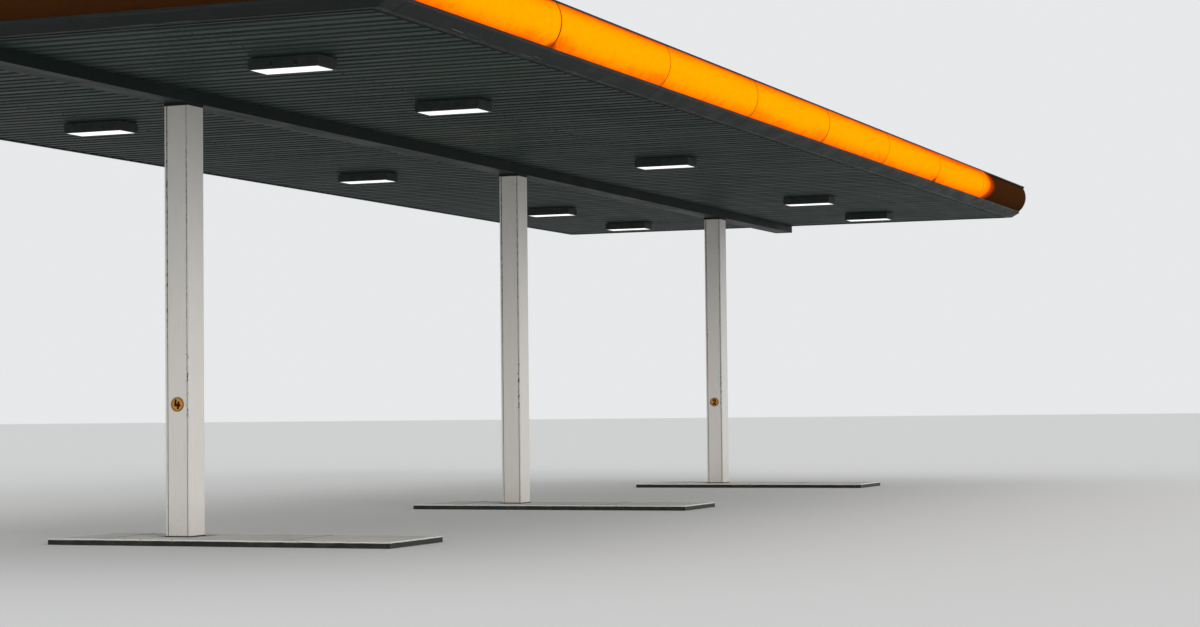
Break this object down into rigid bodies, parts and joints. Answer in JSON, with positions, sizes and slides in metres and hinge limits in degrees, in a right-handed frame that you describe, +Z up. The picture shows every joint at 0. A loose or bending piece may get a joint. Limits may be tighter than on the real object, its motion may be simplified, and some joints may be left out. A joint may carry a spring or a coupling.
{
  "type": "filling station canopy",
  "caption": "Flat filling station canopy on a row of steel columns, with a ribbed dark soffit, surface lights, a bulged amber light-box fascia and low kerbed islands.",
  "frame": {"origin": "on the ground under the middle column, at the centre of the roof's plan", "axes": "+X along the row of columns, -Y towards the lit front fascia, +Z up"},
  "size_m": [23.8648, 8.3848, 4.854],
  "materials": {
    "concrete": "matte",
    "nosing_steel": "satin",
    "column_paint": "satin",
    "frame_paint": "matte",
    "casing_paint": "satin",
    "soffit_paint": "satin",
    "zinc": "satin",
    "roof_sheet": "matte",
    "former_paint": "matte",
    "trim_paint": "satin",
    "box_white": "matte",
    "fascia_lit": "satin",
    "fascia_dark": "satin",
    "lamp_paint": "satin",
    "lamp_lens": "matte",
    "number_disc": "satin"
  },
  "bodies": {
    "root": {"island_1": "concrete", "island_2": "concrete", "island_3": "concrete", "nosing_1": "nosing_steel", "nosing_2": "nosing_steel", "nosing_3": "nosing_steel", "column_1": "column_paint", "column_2": "column_paint", "column_3": "column_paint", "column_panels_1": "column_paint", "column_panels_2": "column_paint", "column_panels_3": "column_paint", "cap_plates": "frame_paint", "number_plates": "number_disc", "spine_beam": "frame_paint", "spine_casing": "casing_paint", "cross_beams_front": "frame_paint", "cross_beams_rear": "frame_paint", "edge_beams": "frame_paint", "soffit_rails": "zinc", "soffit_front": "soffit_paint", "soffit_rear": "soffit_paint", "roof_deck_front": "roof_sheet", "roof_deck_rear": "roof_sheet", "roof_gutter": "zinc", "fascia_rail": "trim_paint", "fascia_back": "box_white", "fascia_formers": "former_paint", "fascia_coping": "trim_paint", "fascia_front_1": "fascia_lit", "fascia_front_2": "fascia_lit", "fascia_front_3": "fascia_lit", "fascia_front_4": "fascia_lit", "fascia_front_5": "fascia_lit", "fascia_front_6": "fascia_lit", "fascia_front_7": "fascia_lit", "fascia_front_8": "fascia_dark", "fascia_rear": "fascia_lit", "fascia_near_end": "fascia_dark", "fascia_far_end": "fascia_dark", "fascia_corners": "fascia_lit", "luminaires_front": "lamp_paint", "luminaires_rear": "lamp_paint", "lenses_front": "lamp_lens", "lenses_rear": "lamp_lens"}
  },
  "joints": []
}
